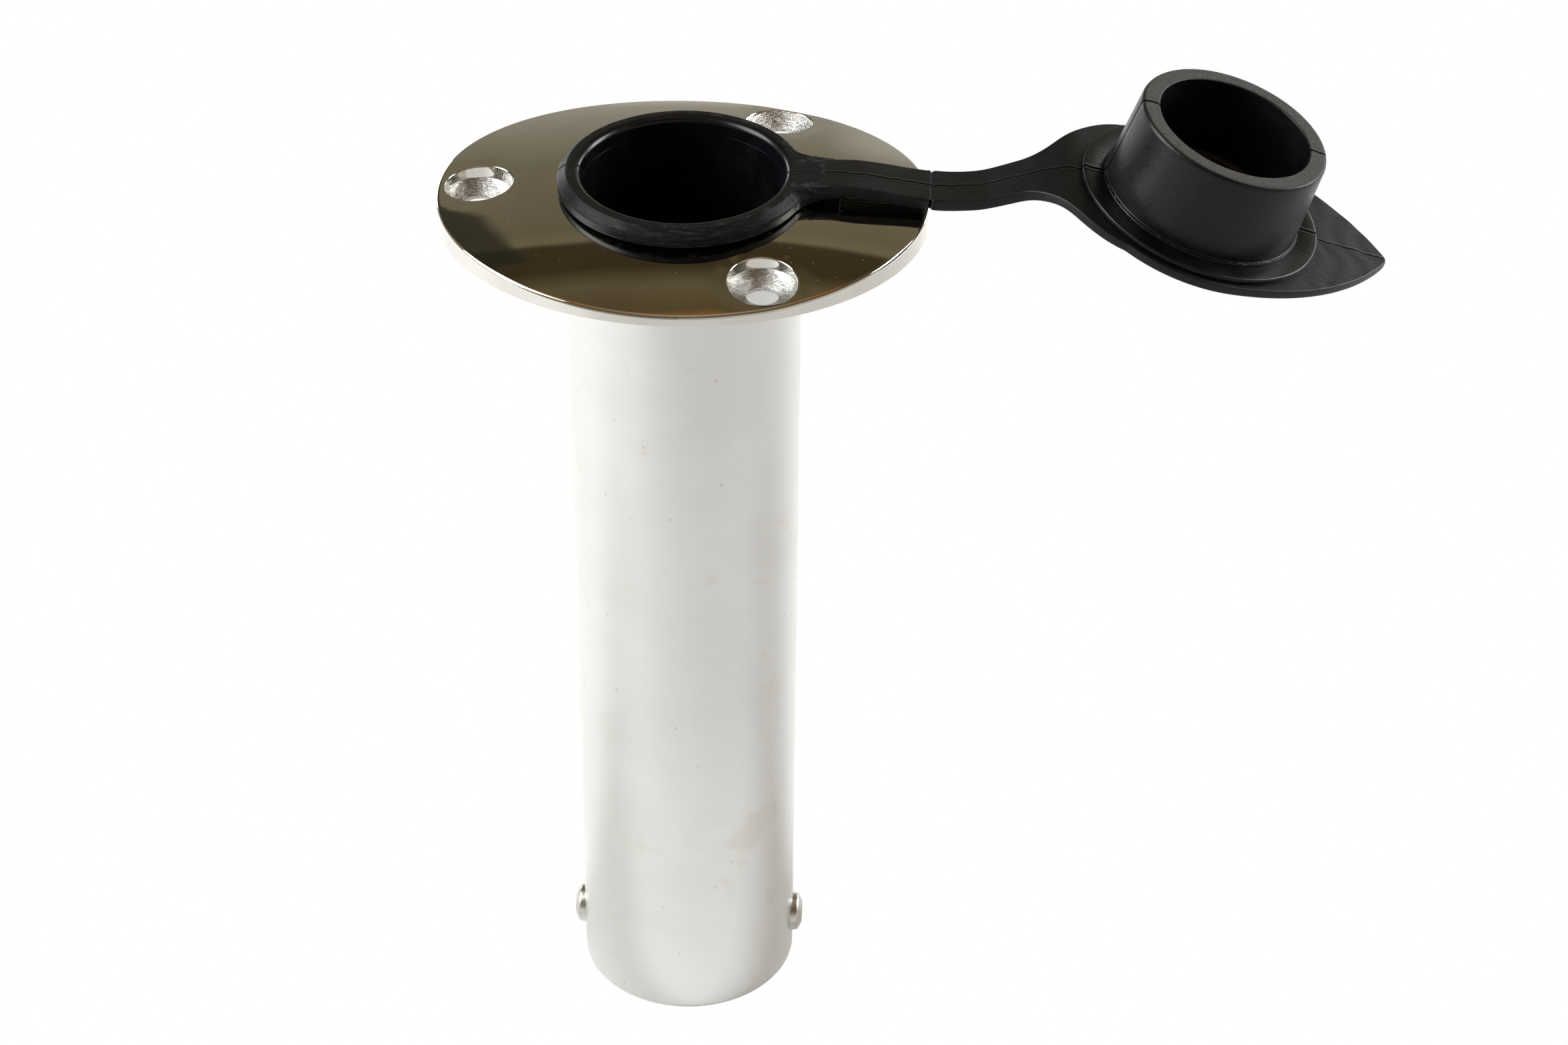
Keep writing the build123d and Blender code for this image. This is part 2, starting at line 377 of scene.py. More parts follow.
def hole_patches(work, hole_x, hole_y):
    """A countersunk screw hole. Gives its rings on the crown and on the underside."""
    turns, edge_rows, cone_rows = 84, 7, 5
    around = circle(1.0, turns)
    wall_foot, edge = [], []
    wall_normals, edge_normals = [], []
    for i in range(edge_rows + 1):
        for c, s in around:
            x = hole_x + (sink_r + mouth_edge) * c
            y = hole_y + (sink_r + mouth_edge) * s
            n = crown_normal(x, y)
            slope = math.atan2(-(n.x * c + n.y * s), n.z)
            mid_z = crown_z(x, y) - mouth_edge / math.cos(slope)
            if i == 0:
                foot = min(sink_seat, mid_z)
                wall_foot.append((x - mouth_edge * c, y - mouth_edge * s, foot))
                wall_normals.append((-c, -s, 0))
            a = (math.pi / 2 - slope) * i / edge_rows
            shift = mouth_edge * math.cos(a)
            edge.append((x - shift * c, y - shift * s, mid_z + mouth_edge * math.sin(a)))
            edge_normals.append((-math.cos(a) * c, -math.cos(a) * s, math.sin(a)))
    faces = flipped(grid_faces(edge_rows + 2, turns))
    work.add(wall_foot + edge, wall_normals + edge_normals, faces)

    drop = (sink_r - screw_r) * math.tan(sink_lean)
    points, normals = [], []
    for i in range(cone_rows + 1):
        r = sink_r + (screw_r - sink_r) * i / cone_rows
        for c, s in around:
            points.append((hole_x + r * c, hole_y + r * s, sink_seat - drop * i / cone_rows))
            normals.append((-math.sin(sink_lean) * c, -math.sin(sink_lean) * s, math.cos(sink_lean)))
    work.add(points, normals, grid_faces(cone_rows + 1, turns), kind=1)

    points, normals = [], []
    for z in (sink_seat - drop, 0):
        for c, s in around:
            points.append((hole_x + screw_r * c, hole_y + screw_r * s, z))
            normals.append((-c, -s, 0))
    work.add(points, normals, grid_faces(2, turns), kind=1)
    return plan(edge[-turns:]), plan(points[-turns:])


def flange_patches():
    """The whole flange: rim, screw holes, crown, underside, recess and bore."""
    work = Patchwork()
    outer_top, outer_under = rim_patch(work)
    hole_rings = [hole_patches(work, x, y) for x, y in screw_holes]
    mouth_rings = [above for above, below in hole_rings]
    under_rings = [below for above, below in hole_rings]

    mouth = tube_r - tube_wall + bore_gap
    bore_ring = circle(mouth, ring_count)
    verts, faces = fill(outer_top, mouth_rings + [bore_ring], 2.0)
    tops = [(x, y, crown_z(x, y)) for x, y in verts]
    work.add(tops, [crown_normal(x, y) for x, y in verts], faces)

    ring = circle(recess_r, ring_count)
    verts, faces = fill(outer_under, under_rings + [ring], 4.0)
    work.add([(x, y, 0) for x, y in verts], [(0, 0, -1)] * len(verts), flipped(faces))
    points = [(x, y, z) for z in (0, recess_depth) for x, y in ring]
    normals = [(-x / recess_r, -y / recess_r, 0) for x, y in ring] * 2
    work.add(points, normals, grid_faces(2, ring_count))
    points = [(x * k, y * k, recess_depth) for k in (1, tube_r / recess_r) for x, y in ring]
    work.add(points, [(0, 0, -1)] * len(points), grid_faces(2, ring_count))

    # inner wall behind the liner
    points = [(x, y, recess_depth) for x, y in bore_ring]
    points += [(x, y, crown_z(x, y)) for x, y in bore_ring]
    normals = [(-x / mouth, -y / mouth, 0) for x, y in bore_ring] * 2
    work.add(points, normals, flipped(grid_faces(2, ring_count)))
    return work


flange_work = flange_patches()
flange_casting = build(
    "flange_casting",
    flange_work.points,
    flange_work.faces,
    normals=flange_work.normals,
    kinds=flange_work.kinds,
)


# ---------------------------------------------------------------- tube, weld and pin
def upright(x, y, z):
    return (x, y, z)


tube_profile = rounded(
    [
        (tube_r, tube_top, 0),
        (tube_r, tube_top - 0.05, 0),
        (tube_r, tube_top - 0.3, 0),
        (tube_r, -40, 0),
        (tube_r, -90, 0),
        (tube_r, -150, 0),
        (tube_r, tube_bottom, 0.55),
        (tube_r - tube_wall, tube_bottom, 0.35),
        (tube_r - tube_wall, -120, 0),
        (tube_r - tube_wall, tube_top - 0.3, 0),
        (tube_r - tube_wall, tube_top - 0.05, 0),
        (tube_r - tube_wall, tube_top, 0),
    ]
)
tube_satin = lathe("tube_satin", tube_profile, upright, turns=320)

weld_top = high("flange_weld").z
weld_foot = low("flange_weld").z
weld_reach = high("flange_weld").x
weld_scales, weld_swell = 96, 0.16  # scales round the bead, and how far each stands out


def ripple(turn, r, z):
    """The overlapping scales of a hand-laid bead."""
    scale = (turn * weld_scales / (2 * math.pi)) % 1.0
    swell = weld_swell * math.sqrt(max(0.0, 1 - (2 * scale - 1) ** 2))
    share = min(1, max(0, (r - tube_r) / 1.2)) * min(1, max(0, (weld_top - z) / 0.8))
    return r + swell * share - 0.1 * share, z - 0.5 * swell * share


weld_leg = weld_reach - tube_r
weld_hollow = 0.05208               # how hollow the bead's face is, as a share of its leg
weld_rise = weld_top - skin - weld_foot
weld_profile = [(tube_r - 0.1, weld_foot + weld_rise), (tube_r - 0.1, weld_foot)]
for k in range(9):
    part = k / 8
    a = math.pi / 2 * part
    x = tube_r + weld_leg * (0.5 * part + 0.5 * (1 - math.cos(a)) - weld_hollow * math.sin(2 * a))
    z = weld_foot + weld_rise * (0.55 * part + 0.45 * math.sin(a))
    weld_profile.append((x, z))
weld_bead = lathe("weld_bead", weld_profile, upright, turns=960, shape=ripple)

pin_z = mounts["gimbal_pin"]["pos_m"][2] / MM
pin_r = (high("cross_pin").z - low("cross_pin").z) / 2
pin_end = high("cross_pin").x - 0.3
head_r = (high("pin_head_right").y - low("pin_head_right").y) / 2
head_tip = high("pin_head_right").x


def pin_at(x, y, z):
    return (z, x, pin_z + y)


pin_shaft = lathe(
    "pin_shaft",
    [(0.01, -pin_end), (pin_r, -pin_end), (pin_r, 0), (pin_r, pin_end), (0.01, pin_end)],
    pin_at,
    turns=96,
    closed=False,
)
head_profile = rounded(
    [
        (0.01, head_tip, 0),
        (2.6, head_tip - 0.12, 1.6),
        (head_r - 0.35, head_tip - 1.1, 0.9),
        (head_r, tube_r - 0.9, 0.2),
        (head_r - 0.7, tube_r - 1.6, 0),
    ],
    steps=6,
)
pin_heads = []
for name, side in (("pin_head_a", -1), ("pin_head_b", 1)):
    line = [(r, side * x) for r, x in head_profile]
    head = lathe(name, line if side < 0 else line[::-1], pin_at, turns=96, closed=False)
    pin_heads.append(head)

# ---------------------------------------------------------------- liner: sleeve and lip
sleeve_profile = rounded(
    [
        (bore_r, lip_seat, 0),
        (bore_r, lip_seat - 0.05, 0),
        (bore_r, lip_seat - 0.4, 0),
        (bore_r, -30, 0),
        (bore_r, sleeve_bottom, 0.8),
        (sleeve_r, sleeve_bottom, 0.3),
        (sleeve_r, -30, 0),
        (sleeve_r, lip_seat - 0.4, 0),
        (sleeve_r, lip_seat - 0.05, 0),
        (sleeve_r, lip_seat, 0),
    ]
)
liner_inside = lathe("liner_inside", sleeve_profile, upright, turns=256)


def rubber_at(x, y, z):
    """A point given on the rubber moulding's own axes, x along the strap."""
    p = along * x + across * y
    return (p.x, p.y, z)


lip_profile = rounded(
    [
        (bore_r, lip_seat, 0),
        (bore_r, lip_seat + 0.05, 0),
        (bore_r, lip_seat + 0.4, 0),
        (bore_r, lip_top, 1.7),
        (lip_r - 1.9, lip_top, 0.5),
        (lip_r - 0.35, lip_top - 1.35, 0.9),
        (lip_r, lip_top - 1.95, 0.12),
        (lip_r - 0.14, lip_top - 2.1, 0.12),
        (lip_r - 0.14, lip_seat, 0.3),
        (bore_r + 1.0, lip_seat, 0),
    ],
    steps=9,
)


def smooth(a, b, x):
    """0 up to a, 1 from b on, and an even curve between them."""
    t = min(1.0, max(0.0, (x - a) / (b - a)))
    return t * t * (3 - 2 * t)


def bezier(points, count):
    """count points of a cubic curve, without its last one."""
    p = [Vector(q) for q in points]
    line = []
    for k in range(count):
        t = k / count
        u = 1 - t
        line.append(u**3 * p[0] + 3 * u * u * t * p[1] + 3 * u * t * t * p[2] + t**3 * p[3])
    return line


spine_x0 = bore_r + 1.2             # where the strap's own line starts
root_narrow, root_end_x = 6, 11     # the root narrows into the band between these, from spine_x0
root_curve = bezier([(1.6, 10.6), (2.7, 8.1), (6.0, 6.7), (12.5, 6.35)], 24)
root_turn, root_reach = [], []
for q in reversed([q for q in root_curve if q.x < root_end_x]):
    side = q.y - 0.15 * smooth(root_narrow, root_end_x, q.x)
    root_turn.append(math.atan2(side, spine_x0 + q.x))
    root_reach.append(math.hypot(side, spine_x0 + q.x))
root_end = root_reach[0] * math.cos(root_turn[0])


def lip_shape(turn, r, z):
    """Swept out into the strap's root on one side; elsewhere the slight unevenness of a moulding."""
    around = min(turn, 2 * math.pi - turn)
    if around < root_turn[0]:
        far = root_end / math.cos(around)
    else:
        far = float(np.interp(around, root_turn, root_reach))
    grow = max(0.0, far - lip_r) * (around < root_turn[-1])
    share = smooth(bore_r + 1.75, lip_r - 2.1, r)
    lift = 1.2 * min(1.0, grow / 4.0) * smooth(lip_top - 2.0, lip_seat, z) * share
    swell = 0.05 * math.sin(3 * turn + 0.6) + 0.03 * math.sin(7 * turn)
    drop = smooth(lip_seat + 0.5, lip_seat + 2.5, z) * (0.06 + swell * 0.7 * (grow == 0))
    return r + grow * share, z + lift - drop


lip_ring = lathe("lip_ring", lip_profile, rubber_at, turns=720, shape=lip_shape)

# ---------------------------------------------------------------- strap and leaf
strap_trees = []
for n in ("strap_inner", "strap_link", "strap_outer", "cap_plate"):
    data = frame["nodes"][n].data
    strap_trees.append(
        BVHTree.FromPolygons([v.co for v in data.vertices], [p.vertices for p in data.polygons])
    )


def strap_top(x):
    """Height of the CAD strap's upper face at x along it."""
    start = (along * x + Vector((0, 0, 200))) * MM
    hits = [tree.ray_cast(start, Vector((0, 0, -1)))[0] for tree in strap_trees]
    return max((hit.z / MM for hit in hits if hit is not None), default=None)


run_step = 0.25
ease, ease_reach = 1.7, 24          # how far the folds' corners are rounded, and in how many steps
plate_start = -27.0                 # where the disc's plane begins, from the cap's centre
samples_x, samples_z = [], []
x = spine_x0
while True:
    z = strap_top(x) if x > lip_r + 1 else lip_top
    if z is None:
        z = samples_z[-1]
    samples_x.append(x)
    samples_z.append(z)
    here = along * x + Vector((0, 0, z))
    if (here - cap_seat).dot(cap_a) > plate_start:
        break
    x += run_step
run_x = np.array(samples_x)
run_z = np.array(samples_z)
step_out = np.array([cap_a.dot(along), cap_a.z])
extra = np.arange(1, 320)[:, None] * run_step * step_out / np.linalg.norm(step_out)
run_x = np.concatenate([run_x, run_x[-1] + extra[:, 0]])
run_z = np.concatenate([run_z, run_z[-1] + extra[:, 1]])
kernel = np.exp(-0.5 * (np.arange(-ease_reach, ease_reach + 1) * run_step / ease) ** 2)
kernel /= kernel.sum()
padded_z = np.concatenate(
    [np.full(ease_reach, run_z[0]), run_z, run_z[-1] + extra[:ease_reach, 1]]
)
run_z = np.convolve(padded_z, kernel, "valid")
run_s = np.concatenate([[0], np.cumsum(np.hypot(np.diff(run_x), np.diff(run_z)))])
plate_s = run_s[len(samples_x) - 1]


def on_strap(s, v, h):
    """World point at s along the strap's upper face, v across it and h above it."""
    s1, s2 = s - 0.4, s + 0.4           # the slope's ends
    x = float(np.interp(s, run_s, run_x))
    z = float(np.interp(s, run_s, run_z))
    dx = float(np.interp(s2, run_s, run_x) - np.interp(s1, run_s, run_x))
    dz = float(np.interp(s2, run_s, run_z) - np.interp(s1, run_s, run_z))
    size = math.hypot(dx, dz)
    up = along * (-dz / size) + Vector((0, 0, dx / size))
    share = smooth(plate_s - 21, plate_s - 3, s)    # turn to the cap
    side = (across * (1 - share) + cap_b * share).normalized()
    lifted = (up * (1 - share) + cap_w * share).normalized()
    flat = cap_at(s - plate_s + plate_start, 0, -collar_t)
    flat_y = flat.dot(across) * share
    return along * x + Vector((0, 0, z)) + across * flat_y + side * v + lifted * h


def even(line, step):
    """The same line with its points an even step apart."""
    pts = np.array([tuple(p) for p in line])
    run = np.concatenate([[0], np.cumsum(np.linalg.norm(np.diff(pts, axis=0), axis=1))])
    count = max(2, int(round(run[-1] / step)) + 1)
    at = np.linspace(0, run[-1], count)
    return [Vector((np.interp(a, run, pts[:, 0]), np.interp(a, run, pts[:, 1]))) for a in at]


def band_ring(half_line, step):
    """The whole edge of a band, counter-clockwise: half_line mirrored across v."""
    closest = 0.05
    upper = even(half_line, step)
    ring = []
    for p in upper + [Vector((p.x, -p.y)) for p in reversed(upper)]:
        if not ring or (p - ring[-1]).length > closest:
            ring.append(p)
    if (ring[0] - ring[-1]).length < closest:
        ring.pop()
    area = sum(a.x * b.y - b.x * a.y for a, b in zip(ring, ring[1:] + ring[:1]))
    return ring[::-1] if area < 0 else ring


def slab(name, half_line, edge, thick, relief=None, spacing=1.5, step=0.7):
    """A flat band on the strap's line. half_line is its (s, v) edge from its start to its far end.

    edge is the upper edge's radius and thick the depth, each a number or a function of s.
    """
    ring = band_ring(half_line, step)
    count = len(ring)
    inward = []
    for i in range(count):
        t = ring[(i + 1) % count] - ring[i - 1]
        inward.append(Vector((-t.y, t.x)).normalized())
    radii = [edge(p.x) if callable(edge) else edge for p in ring]
    steps = 6
    low_edge = 0.3                      # radius of the lower edge
    rows = []
    for i in range(steps + 1):
        a = math.pi / 2 * (1 - i / steps)
        rows.append(
            [(p + n * low_edge * (1 - math.cos(a)), "low", low_edge * (1 - math.sin(a)))
             for p, n in zip(ring, inward)]
        )
    for i in range(steps + 1):
        a = math.pi / 2 * i / steps
        rows.append(
            [(p + n * e * (1 - math.cos(a)), "top", -e * (1 - math.sin(a)))
             for p, n, e in zip(ring, inward, radii)]
        )
    rows.append([(p + n * (1.25 * e + 0.04), "top", 0.0) for p, n, e in zip(ring, inward, radii)])
    points, flows = [], []

    def put(q, kind, h):
        t = thick(q.x) if callable(thick) else thick
        rise = relief(q.x, q.y) if relief and kind == "top" else 0.0
        lift = -t + h if kind == "low" else h + rise
        points.append(on_strap(q.x, q.y, lift))
        flows.append((q.x - plate_s + plate_start, q.y, lift))

    for row in rows:
        for q, kind, h in row:
            put(q, kind, h)
    faces = grid_faces(len(rows), count)
    top_ring = [tuple(q) for q, kind, h in rows[-1]]
    verts, tops = fill(top_ring, [], spacing)
    first = len(points)
    for x, y in verts:
        put(Vector((x, y)), "top", 0.0)
    faces += [tuple(first + i for i in f) for f in tops]
    low_ring = [tuple(q) for q, kind, h in rows[0]]
    verts, lows = fill(low_ring, [], spacing * 1.5)
    first = len(points)
    for x, y in verts:
        put(Vector((x, y)), "low", 0.0)
    faces += [tuple(first + i for i in f[::-1]) for f in lows]
    obj = build(name, points, faces, flows)
    weld_points(obj)
    return obj


def weld_points(obj):
    """Joins points that lie on each other."""
    bm = bmesh.new()
    bm.from_mesh(obj.data)
    bmesh.ops.remove_doubles(bm, verts=bm.verts, dist=2e-6)
    bm.to_mesh(obj.data)
    bm.free()


notch_x = fold_a.dot(along) + 4.7
notch_s = float(np.interp(notch_x, run_x, run_s))
notch_half = 0.2                    # half the notch's width at the bottom
strap_half = 6.5                    # the CAD strap's half width
half_band = strap_half - 0.1
strap_depth = 2.5
near_s = 3.0                        # the near part starts inside the ring's tongue

# near part: flares out of the lip, ends at the crosswise notch
near_half = [Vector((near_s, 0.0)), Vector((near_s, 6.0))]
for q in root_curve:
    if q.x > 4.5:
        tuck = 0.3 * (1 - smooth(root_narrow, root_end_x, q.x))
        near_half.append(Vector((q.x, q.y - tuck)))
near_half += [Vector((13, half_band - 0.05)), Vector((notch_s - 1.3, half_band))]
near_half += [Vector((notch_s - 0.7, half_band)), Vector((notch_s - 0.25, half_band - 0.75))]
near_half += [Vector((notch_s - notch_half, 0.0))]


def near_edge(s):
    """Radius of the upper edge: sharp in the tongue, soft at the root, tighter along the band."""
    return 0.08 + 1.4 * smooth(3.2, 6.5, s) - 0.85 * smooth(8, 15, s) - 0.4 * (s > notch_s - 0.8)


def near_relief(s, v):
    """The strap's first few millimetres lie just under the ring's tongue."""
    return -0.2 * (1 - smooth(5, 10, s))


strap_near = slab("strap_near", near_half, near_edge, strap_depth, near_relief)

# leaf: link, neck, disc and pull tab in one moulding
leaf_s = plate_s - plate_start
flare_u, flare_v = -16.5, 22.25     # where the neck's flare meets the disc's round edge
flank_u, flank_v = 6.0, 27.04       # where the tab's side leaves it
tip_half = 0.8                      # half the width of the tab's tip


def leaf_curve(*ends):
    """A cubic edge of the leaf, from four points given from the cap's centre."""
    return bezier([(leaf_s + u, v) for u, v in ends], 30)


leaf_half = [Vector((notch_s - notch_half, 0.0)), Vector((notch_s - 0.25, half_band - 0.75))]
leaf_half += [Vector((notch_s + 0.25, half_band)), Vector((notch_s + 6, half_band - 0.1))]
leaf_half += leaf_curve((-40, strap_half), (-31, strap_half), (-27, 19.5), (flare_u, flare_v))
start_turn = math.atan2(flare_v, flare_u)
end_turn = math.atan2(flank_v, flank_u)
for k in range(31):
    t = start_turn + (end_turn - start_turn) * k / 30
    leaf_half.append(Vector((leaf_s + plate_r * math.cos(t), plate_r * math.sin(t))))
leaf_half += leaf_curve((flank_u, flank_v), (18, 24.4), (33, 17.0), (tab_reach, tip_half))
leaf_half += [Vector((leaf_s + tab_reach, tip_half)), Vector((leaf_s + tab_reach, 0.0))]


def leaf_relief(s, v):
    """Low flow swells near the tab's tip."""
    u = s - leaf_s
    share = smooth(20, 27, u) * (1 - smooth(38, 42, u))
    return share * 0.035 * math.sin(1.1 * u + 2.2 * math.sin(0.33 * v + 0.4) + 0.2 * v)


def leaf_depth(s):
    """The link is as thick as the strap; the disc and its tab are thinner."""
    thinner = strap_depth - (plate_t - skin)
    return strap_depth - thinner * smooth(plate_s - 12, plate_s - 1, s)


cap_leaf = slab("cap_leaf", leaf_half, 0.3, leaf_depth, leaf_relief, spacing=1.4)

# ---------------------------------------------------------------- cap: collar step and plug cup
collar_hole_r = 16.0                # hidden by the plug
collar_foot = skin - collar_t
collar_profile = rounded(
    [
        (collar_hole_r, -0.25, 0),
        (collar_hole_r, -0.01, 0),
        (collar_r, -0.01, 0.4),
        (collar_r + 0.05, collar_foot, 0),
        (collar_r - 1.0, collar_foot, 0),
    ]
)
collar_step = lathe("collar_step", collar_profile, cap_at, turns=256)

plug_root_r = 21.35
plug_tip_r = 20.5
plug_bore_r = 16.6
plug_profile = rounded(
    [
        (plug_bore_r + 1, 0.0, 0),
        (plug_root_r + 0.5, 0.0, 0),
        (plug_root_r + 0.42, 0.3, 0.12),
        (plug_root_r - 0.03, 0.6, 0.3),
        (plug_tip_r, plug_h - skin, 1.1),
        (plug_bore_r, plug_h - skin, 0.5),
        (plug_bore_r - 0.2, 1.0, 1.6),
        (0.02, 0.9, 0),
    ],
    steps=8,
)
plug_cup = lathe("plug_cup", plug_profile, cap_at, turns=288, closed=False)


# ---------------------------------------------------------------- materials
class Paint:
    """A small helper that adds and joins shader nodes."""

    def __init__(self, name, world=None):
        self.data = world or bpy.data.materials.new(name)
        self.data.use_nodes = True
        self.tree = self.data.node_tree
        self.tree.nodes.clear()

    def node(self, kind, settings=None, **inputs):
        made = self.tree.nodes.new("ShaderNode" + kind)
        for key, value in (settings or {}).items():
            setattr(made, key, value)
        for key, value in inputs.items():
            self.join(made.inputs[key.replace("_", " ")], value)
        return made

    def join(self, socket, value):
        if isinstance(value, bpy.types.NodeSocket):
            self.tree.links.new(value, socket)
        elif isinstance(value, tuple) and len(value) == 3 and len(socket.default_value) == 4:
            socket.default_value = (*value, 1)
        else:
            socket.default_value = value

    def math(self, what, a, b=0.0, c=0.0, clamp=False):
        made = self.tree.nodes.new("ShaderNodeMath")
        made.operation = what
        made.use_clamp = clamp
        for socket, value in zip(made.inputs, (a, b, c)):
            self.join(socket, value)
        return made.outputs[0]

    def mix(self, share, a, b, how="MIX"):
        made = self.tree.nodes.new("ShaderNodeMix")
        made.data_type = "RGBA"
        made.blend_type = how
        for socket, value in zip((made.inputs[0], made.inputs[6], made.inputs[7]), (share, a, b)):
            self.join(socket, value)
        return made.outputs[2]

    def ramp(self, share, stops, smooth_steps=True):
        made = self.tree.nodes.new("ShaderNodeValToRGB")
        made.color_ramp.interpolation = "EASE" if smooth_steps else "LINEAR"
        while len(made.color_ramp.elements) < len(stops):
            made.color_ramp.elements.new(0.5)
        for element, (at, colour) in zip(made.color_ramp.elements, stops):
            element.position = at
            if isinstance(colour, tuple):
                element.color = (*colour, 1)
            else:
                element.color = (colour, colour, colour, 1)
        self.join(made.inputs[0], share)
        return made.outputs[0]

    def place(self):
        return self.node("Attribute", {"attribute_name": "place"}).outputs["Vector"]

    def stretch(self, vector, scale):
        return self.node("Mapping", Vector=vector, Scale=scale).outputs[0]

    def noise(self, vector, scale, detail=3.0, rough=0.5, warp=0.0):
        return self.node(
            "TexNoise", Vector=vector, Scale=scale, Detail=detail, Roughness=rough, Distortion=warp
        ).outputs["Fac"]

    def dots(self, vector, scale):
        """Distance to the nearest of a scatter of points."""
        made = self.node("TexVoronoi", {"feature": "F1"}, Vector=vector, Scale=scale)
        return made.outputs["Distance"]

    def bump(self, height, distance):
        """Relief of distance millimetres."""
        return self.node("Bump", Height=height, Distance=distance * MM, Strength=1.0).outputs[0]

    def surface(self, **inputs):
        shader = self.node("BsdfPrincipled", None, **inputs)
        out = self.node("OutputMaterial")
        self.tree.links.new(shader.outputs[0], out.inputs[0])
        return self.data

    def metal(self, tone, rough, height, depth):
        relief = self.bump(height, depth)
        return self.surface(Base_Color=tone, Metallic=1.0, Roughness=rough, Normal=relief)


def polished_steel():
    p = Paint("polished_steel")
    at = p.place()
    haze = p.noise(at, 0.05, 4)
    fine = p.noise(p.stretch(at, (1.6, 0.5, 1)), 0.7, 6, 0.65)
    hair = p.noise(p.stretch(at, (9.0, 0.35, 1)), 1.4, 2)
    scratch = p.ramp(hair, [(0.0, 0.0), (0.70, 0.0), (0.78, 1.0), (1.0, 1.0)])
    rough = p.math("MULTIPLY_ADD", fine, 0.035, 0.022)
    rough = p.math("MULTIPLY_ADD", scratch, 0.03, rough)
    tone = p.ramp(haze, [(0.3, (0.60, 0.575, 0.53)), (0.7, (0.66, 0.635, 0.59))])
    pits = p.dots(at, 0.33)
    pit = p.ramp(pits, [(0.0, 1.0), (0.045, 0.6), (0.06, 0.0), (1.0, 0.0)])
    tone = p.mix(p.math("MULTIPLY", pit, 0.8), tone, (0.90, 0.89, 0.86))
    rough = p.math("MULTIPLY_ADD", pit, 0.5, rough)
    wave = p.noise(at, 0.035, 1)
    height = p.math("MULTIPLY_ADD", wave, 1.0, p.math("MULTIPLY", fine, 0.0012))
    return p.metal(tone, rough, height, 0.22)


def turned_steel():
    """The cutter's rings run at one height on the cone, so they follow z."""
    p = Paint("turned_steel")
    at = p.place()
    rings = p.noise(p.stretch(at, (0.10, 0.10, 3.0)), 1.7, 4, 0.65)
    blotch = p.noise(at, 0.35, 2)
    rough = p.math("MULTIPLY_ADD", rings, 0.22, 0.10)
    tone = p.ramp(blotch, [(0.3, (0.54, 0.54, 0.52)), (0.7, (0.74, 0.74, 0.72))])
    tone = p.mix(p.math("MULTIPLY", rings, 0.45), tone, (0.40, 0.39, 0.36))
    drags = p.noise(p.stretch(at, (0.45, 1.5, 1.5)), 2.4, 4, 0.7, 0.3)
    score = p.ramp(drags, [(0.0, 0.0), (0.42, 0.0), (0.60, 1.0), (1.0, 1.0)])
    tone = p.mix(p.math("MULTIPLY", score, 0.65), tone, (0.20, 0.195, 0.18))
    height = p.math("MULTIPLY_ADD", drags, 0.9, rings)
    return p.metal(tone, rough, height, 0.16)


def brushed_steel():
    p = Paint("brushed_steel")
    at = p.place()
    lines = p.noise(p.stretch(at, (1.0, 1.0, 0.02)), 1.9, 4, 0.6)
    fine = p.noise(p.stretch(at, (1.0, 1.0, 0.05)), 6.0, 3, 0.6)
    cross = p.noise(p.stretch(at, (0.05, 0.05, 1.0)), 3.0, 3, 0.6)
    cloud = p.noise(at, 0.03, 3, 0.55, 0.6)
    stain = p.ramp(p.noise(at, 0.055, 4, 0.6, 1.2), [(0.0, 0.0), (0.60, 0.0), (0.74, 1.0), (1, 1.0)])
    tone = p.ramp(cloud, [(0.3, (0.650, 0.645, 0.615)), (0.7, (0.70, 0.698, 0.675))])
    tone = p.mix(p.math("MULTIPLY", stain, 0.34), tone, (0.50, 0.45, 0.36))
    tone = p.mix(p.math("MULTIPLY", lines, 0.20), tone, (0.82, 0.81, 0.79))
    tone = p.mix(p.math("MULTIPLY", cross, 0.22), tone, (0.50, 0.49, 0.46))
    dots = p.dots(at, 0.16)
    pit = p.ramp(dots, [(0.0, 1.0), (0.05, 0.8), (0.09, 0.0), (1.0, 0.0)])
    tone = p.mix(p.math("MULTIPLY", pit, 0.35), tone, (0.30, 0.28, 0.23))
    rough = p.math("MULTIPLY_ADD", lines, 0.12, 0.25)
    rough = p.math("MULTIPLY_ADD", cloud, 0.06, rough)
    height = p.math("ADD", p.math("MULTIPLY", fine, 0.5), p.math("MULTIPLY", cross, 0.6))
    return p.metal(tone, rough, height, 0.012)


def raw_steel(name, bright):
    p = Paint(name)
    at = p.place()
    grain = p.noise(at, 1.3, 5, 0.6)
    heat = p.noise(at, 0.12, 3)
    tone = p.ramp(
        heat,
        [
            (0.3, (0.50 * bright, 0.47 * bright, 0.41 * bright)),
            (0.7, (0.62 * bright, 0.61 * bright, 0.59 * bright)),
        ],
    )
    rough = p.math("MULTIPLY_ADD", grain, 0.2, 0.2)
    return p.metal(tone, rough, grain, 0.03)


